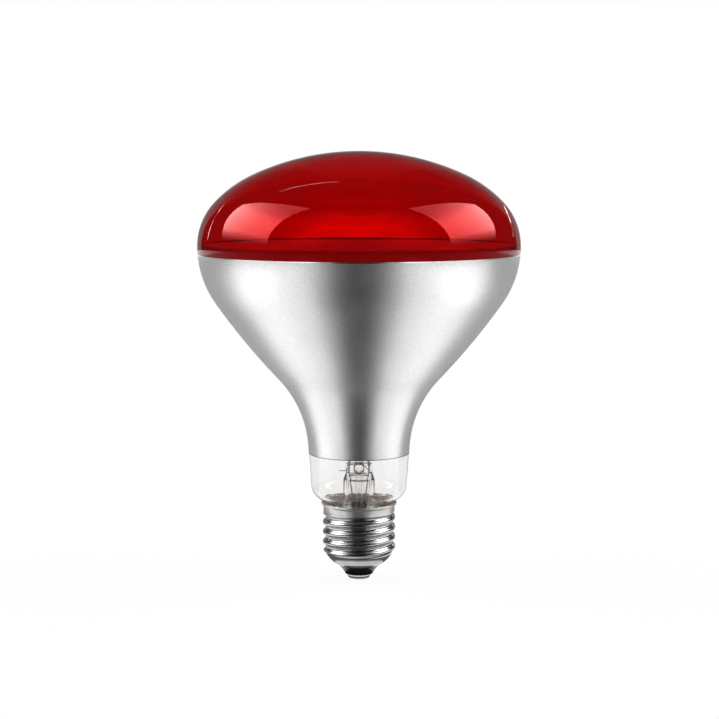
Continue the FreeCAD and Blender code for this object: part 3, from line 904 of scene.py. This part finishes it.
def emissionMaterial(name):
    # a node tree with nothing but one white emission shader on its surface
    mat = bpy.data.materials.new(name)
    mat.use_nodes = True
    tree = mat.node_tree
    tree.nodes.clear()
    glow = addNode(tree, "ShaderNodeEmission", {"Color": (1, 1, 1, 1), "Strength": 1.0})
    out = addNode(tree, "ShaderNodeOutputMaterial")
    tree.links.new(glow.outputs["Emission"], out.inputs["Surface"])
    return mat, tree, glow


def seenRays(tree):
    # 1 for camera, glossy and transmission rays
    path = addNode(tree, "ShaderNodeLightPath")
    either = addNode(tree, "ShaderNodeMath", operation="MAXIMUM")
    tree.links.new(path.outputs["Is Camera Ray"], either.inputs[0])
    tree.links.new(path.outputs["Is Glossy Ray"], either.inputs[1])
    anySeen = addNode(tree, "ShaderNodeMath", operation="MAXIMUM")
    tree.links.new(either.outputs["Value"], anySeen.inputs[0])
    tree.links.new(path.outputs["Is Transmission Ray"], anySeen.inputs[1])
    return anySeen.outputs["Value"]


def floorMaterial():
    # white to the eye, in metal and through glass, with a share of paper near the lamp for its shadow
    mat, tree, glow = emissionMaterial("studioFloor")
    surface = glow.outputs["Emission"].links[0].to_socket
    paper = addNode(tree, "ShaderNodeBsdfDiffuse", {"Color": stage["floorColour"]})
    distance = addNode(tree, "ShaderNodeVectorMath", operation="LENGTH")
    tree.links.new(objectPoint(tree), distance.inputs[0])
    near, far = stage["shadowReach"]
    white = mapRange(tree, distance.outputs["Value"], near, far,
                     stage["floorWhiteNear"], stage["floorWhiteFar"])
    mix = addNode(tree, "ShaderNodeMixShader")
    tree.links.new(multiply(tree, seenRays(tree), white), mix.inputs["Fac"])
    tree.links.new(paper.outputs["BSDF"], mix.inputs[1])
    tree.links.new(glow.outputs["Emission"], mix.inputs[2])
    tree.links.new(mix.outputs["Shader"], surface)
    return mat


def stageMesh(name, bm, mat):
    mesh = bpy.data.meshes.new(name)
    bm.to_mesh(mesh)
    bm.free()
    mesh.materials.append(mat)
    piece = bpy.data.objects.new(name, mesh)
    scene.collection.objects.link(piece)
    return piece


def makeFloor():
    bm = bmesh.new()
    bmesh.ops.create_circle(bm, cap_ends=True, segments=stage["floorSides"],
                            radius=stage["floorRadius"])
    stageMesh("floor", bm, floorMaterial())


def makeWorld():
    world = bpy.data.worlds.new("studio")
    world.use_nodes = True
    tree = world.node_tree
    background = tree.nodes["Background"]
    background.inputs["Color"].default_value = (1, 1, 1, 1)
    strength = mapRange(tree, seenRays(tree), 0, 1, stage["ambient"], 1.0)
    tree.links.new(strength, background.inputs["Strength"])
    scene.world = world


# Soft panels: upright planes at both sides, brightest in the middle of their height

panel = {
    "away": 0.55,
    "target": (0.035, -0.035, 0.13),
    "corners": ((66, 7), (112, 7), (134, 37), (74, 68)),
    "levels": ((0.14, 0.02), (0.22, 0.2), (0.27, 1.6), (0.33, 4.2),
               (0.50, 5.0), (0.60, 4.8), (0.78, 2.6), (1.0, 1.5)),
}


def heightRamp(tree, levels):
    # a smooth strength over Object Z from pairs of height and level
    low, high = levels[0][0], levels[-1][0]
    peak = max(level for height, level in levels)
    share = mapRange(tree, objectHeight(tree), low, high, 0.0, 1.0)
    ramp = addNode(tree, "ShaderNodeValToRGB")
    stops = ramp.color_ramp.elements
    for height, level in levels:
        if low < height < high:
            stop = stops.new((height - low) / (high - low))
        else:
            stop = stops[0] if height == low else stops[-1]
        stop.color = (level / peak,) * 3 + (1,)
    tree.links.new(share, ramp.inputs["Fac"])
    return mapRange(tree, ramp.outputs["Color"], 0, 1, 0.0, peak)


def addPanel(name, side, mat):
    # corners are given as azimuth from the front and elevation, seen from the dome's flank
    targetX, targetY, targetZ = panel["target"]
    bm = bmesh.new()
    corners = []
    for azimuth, elevation in panel["corners"]:
        back = -panel["away"] / tan(radians(azimuth))
        rise = hypot(panel["away"], back) * tan(radians(elevation))
        corners.append(bm.verts.new((side * (targetX + panel["away"]), targetY + back, targetZ + rise)))
    bm.faces.new(corners)
    piece = stageMesh(name, bm, mat)
    piece.visible_camera = False
    piece.visible_shadow = False


def makePanels():
    mat, tree, glow = emissionMaterial("softPanel")
    tree.links.new(heightRamp(tree, panel["levels"]), glow.inputs["Strength"])
    addPanel("softPanelLeft", -1, mat)
    addPanel("softPanelRight", 1, mat)


# Tent: sheets that only reflections and glass show, dark in front, above and at the sides

tent = {
    "radius": 2.2,
    "centre": 0.12,
    "topAngle": 89.5,
    "levels": 16,
    "ribAngle": 6,
    "backFrom": 168.0,
    "dark": 0.015,
    "shoulderFrom": 147.0,
    "shoulderLevels": ((0.12, 0.26), (0.6, 0.2), (1.0, 0.06), (1.4, 0.015), (2.3, 0.015)),
    "backLevels": ((0.12, 0.6), (0.39, 0.42), (0.61, 0.16),
                   (0.87, 0.1), (1.22, 0.045), (2.3, 0.015)),
    "glassLevel": 0.44,
    "glassGlow": 0.85,
    "glowCentre": (0.0, 2.2, 0.065),
    "glowScale": (5.5, 1.0, 10.0),
    "insideLight": 0.35,
    "floorGap": 0.0004,
    "roundSides": 24,
    "stripRadius": 2.09,
    "stripTip": 0.35,
}

# thin strips that draw fine highlights in the dome: level, width in degrees, and points given as
# azimuth from the front and elevation
strips = {
    "left": (9.0, 1.0, [(-133.0, 3.0), (-134.0, 7.0), (-135.5, 11.0),
                        (-138.0, 15.5), (-142.2, 19.7), (-148.5, 22.6)]),
    "right": (7.0, 0.9, [(141.0, 3.0), (143.0, 7.0), (146.5, 9.8), (153.7, 11.4), (160.0, 10.6)]),
    "top": (4.0, 1.0, [(-134.0, 45.0), (-137.7, 52.1), (-147.1, 56.8), (-159.3, 60.7), (-168.0, 62.0)]),
}

# floor sheets as corner points on the right side, each with its level
floorSheets = {
    "near": (1.22, [(0.050, -0.012), (0.15, -0.094), (0.15, 0.035), (0.050, 0.035)]),
    "side": (1.5, [(0.15, -0.094), (0.52, -0.40), (0.72, -0.14),
                   (0.74, 0.07), (0.18, 0.035), (0.15, 0.035)]),
    "wing": (1.2, [(0.145, -0.26), (0.40, -0.75), (0.75, -1.1), (0.52, -0.40), (0.27, -0.192)]),
    "back": (0.36, [(0.0, 0.035), (0.18, 0.035), (0.74, 0.07), (0.95, 0.9), (0.0, 2.0)]),
    "edge": (0.33, [(0.011, -0.018), (0.022, -0.020), (0.40, -0.75),
                    (1.06, -2.0), (0.62, -2.0), (0.232, -0.75)]),
    "far": (0.35, [(0.75, -1.1), (0.52, -0.40), (0.72, -0.14), (0.74, 0.07), (0.95, 0.9), (2.0, 0.6),
                   (2.1, -0.6), (1.06, -2.0), (0.40, -0.75)]),
}
frontSheet = [(0.011, -0.018), (0.232, -0.75), (0.62, -2.0),
              (-0.62, -2.0), (-0.232, -0.75), (-0.011, -0.018)]
# a dark disc that reflections show under the lamp: painted shadow of the bulb on the floor beneath it
underShadowSheet = {"radius": 0.030, "level": 0.14}
# rings that the contact's foot mirrors: inner radius, outer radius and level
tipRings = {
    "darkRing": (0.0050, 0.0069, 0.04),
    "greyRing": (0.0069, 0.0130, 0.85),
}
tipRingHeight = 0.00045


def tentMaterial(name, level):
    # its own level in reflections, a lighter one for light that goes through glass
    mat, tree, glow = emissionMaterial(name)
    path = addNode(tree, "ShaderNodeLightPath")
    inside = max(level, tent["insideLight"])
    strength = mapRange(tree, path.outputs["Is Transmission Ray"], 0, 1, level, inside)
    tree.links.new(strength, glow.inputs["Strength"])
    return mat


def wallMaterial(name, levels, through):
    # a wall whose level in reflections changes with height; for light that goes through glass it has
    # one level, or the one that the function through makes
    mat, tree, glow = emissionMaterial(name)
    path = addNode(tree, "ShaderNodeLightPath")
    mix = addNode(tree, "ShaderNodeMix", {"B": tent["insideLight"]}, data_type="FLOAT")
    tree.links.new(path.outputs["Is Transmission Ray"], mix.inputs["Factor"])
    tree.links.new(heightRamp(tree, levels), mix.inputs["A"])
    if through:
        tree.links.new(through(tree), mix.inputs["B"])
    tree.links.new(mix.outputs["Result"], glow.inputs["Strength"])
    return mat


def backGlow(tree):
    # a soft glow round one point of the wall behind the lamp
    away = addNode(tree, "ShaderNodeVectorMath", {1: tent["glowCentre"]}, operation="SUBTRACT")
    tree.links.new(objectPoint(tree), away.inputs[0])
    scaled = addNode(tree, "ShaderNodeVectorMath", {1: tent["glowScale"]}, operation="MULTIPLY")
    tree.links.new(away.outputs["Vector"], scaled.inputs[0])
    distance = addNode(tree, "ShaderNodeVectorMath", operation="LENGTH")
    tree.links.new(scaled.outputs["Vector"], distance.inputs[0])
    brightest = tent["glassLevel"] + tent["glassGlow"]
    return mapRange(tree, distance.outputs["Value"], 0.0, 1.0, brightest, tent["glassLevel"])


def hideSheet(piece, throughGlass):
    piece.visible_camera = False
    piece.visible_diffuse = False
    piece.visible_transmission = throughGlass
    piece.visible_shadow = False


def around(azimuth, radius, height):
    return Vector((sin(radians(azimuth)) * radius, -cos(radians(azimuth)) * radius, height))


def addDome(name, fromAzimuth, toAzimuth, mat):
    # a stretch of a wall and the quarter dome over it, from the floor to straight above
    arc = arcPoints((0, tent["centre"]), tent["radius"], 0, tent["topAngle"], tent["levels"])
    outline = [(tent["radius"], 0.0)] + arc
    count = max(2, round(abs(toAzimuth - fromAzimuth) / tent["ribAngle"]))
    bm = bmesh.new()
    previous = None
    for i in range(count + 1):
        azimuth = fromAzimuth + (toAzimuth - fromAzimuth) * i / count
        rib = [bm.verts.new(around(azimuth, r, z)) for r, z in outline]
        if previous:
            for low in range(len(outline) - 1):
                bm.faces.new((previous[low], rib[low], rib[low + 1], previous[low + 1]))
        previous = rib
    hideSheet(stageMesh(name, bm, mat), True)


def addFloorSheet(name, corners, mat):
    bm = bmesh.new()
    bm.faces.new([bm.verts.new((x, y, tent["floorGap"])) for x, y in corners])
    hideSheet(stageMesh(name, bm, mat), False)


def addStrip(name, level, width, directions):
    # a narrow band on the tent's wall through the given directions, tapered to its ends
    away, tip = tent["stripRadius"], tent["stripTip"]
    bm = bmesh.new()
    previous = None
    for i, (azimuth, elevation) in enumerate(directions):
        half = radians(width / 2) * sin(pi * (i + tip) / (len(directions) - 1 + 2 * tip))
        pair = []
        for side in (-1, 1):
            turned = radians(azimuth) + side * half * cos(radians(elevation))
            raised = radians(elevation) - side * half * (1 if azimuth < 0 else -1)
            point = Vector((sin(turned) * cos(raised), -cos(turned) * cos(raised), sin(raised))) * away
            pair.append(bm.verts.new(point + axisUp * tent["centre"]))
        if previous:
            bm.faces.new(previous + pair[::-1])
        previous = pair
    hideSheet(stageMesh(name, bm, tentMaterial(name, level)), False)


def makeTent():
    dark = tentMaterial("tentDark", tent["dark"])
    shoulder = wallMaterial("tentShoulder", tent["shoulderLevels"], None)
    addDome("tentAround", -tent["shoulderFrom"], tent["shoulderFrom"], dark)
    addDome("tentShoulderRight", tent["shoulderFrom"], tent["backFrom"], shoulder)
    addDome("tentShoulderLeft", -tent["backFrom"], -tent["shoulderFrom"], shoulder)
    addDome("tentBehind", tent["backFrom"], 360 - tent["backFrom"],
            wallMaterial("tentBack", tent["backLevels"], backGlow))
    for word, (level, width, directions) in strips.items():
        addStrip(word + "Strip", level, width, directions)
    addFloorSheet("frontSheet", frontSheet, dark)
    for word, (level, corners) in floorSheets.items():
        mat = tentMaterial(word + "Sheet", level)
        for side, hand in ((-1, "Left"), (1, "Right")):
            addFloorSheet(word + "Sheet" + hand, [(side * x, y) for x, y in corners], mat)
    sides = tent["roundSides"]
    # the disc under the lamp is painted shadow, seen only in reflections
    disc = [around(360 * i / sides, underShadowSheet["radius"], 0)[:2] for i in range(sides)]
    addFloorSheet("underShadowSheet", disc, tentMaterial("underShadowSheet", underShadowSheet["level"]))
    for name, (inner, outer, level) in tipRings.items():
        bm = bmesh.new()
        rim = [bm.verts.new((radius, 0, tipRingHeight)) for radius in (inner, outer)]
        bmesh.ops.spin(bm, geom=rim + [bm.edges.new(rim)], cent=(0, 0, 0), axis=axisUp, angle=2 * pi,
                       steps=sides, use_merge=True)
        hideSheet(stageMesh(name, bm, tentMaterial(name, level)), False)


makeFloor()
makeWorld()
makePanels()
makeTent()


# Camera at the photograph's viewing angle

camera = {
    "distance": 0.600,
    "height": 0.14853,
    "pitchDown": 6.512,
    "lens": 84.12,
    "shiftX": 0.0007,
    "sensorWidth": 36.0,
    "clipStart": 0.01,
}


def makeCamera():
    data = bpy.data.cameras.new("camera")
    data.lens = camera["lens"]
    data.sensor_width = camera["sensorWidth"]
    data.shift_x = camera["shiftX"]
    data.clip_start = camera["clipStart"]
    eye = bpy.data.objects.new("camera", data)
    eye.location = (0, -camera["distance"], camera["height"])
    eye.rotation_euler = (radians(90 - camera["pitchDown"]), 0, 0)
    scene.collection.objects.link(eye)
    scene.camera = eye


makeCamera()
scene.view_settings.view_transform = "Standard"
# glass within glass within a mirrored bowl needs long light paths
scene.cycles.max_bounces = 28
scene.cycles.transmission_bounces = 28
scene.cycles.glossy_bounces = 10
print("stage made")
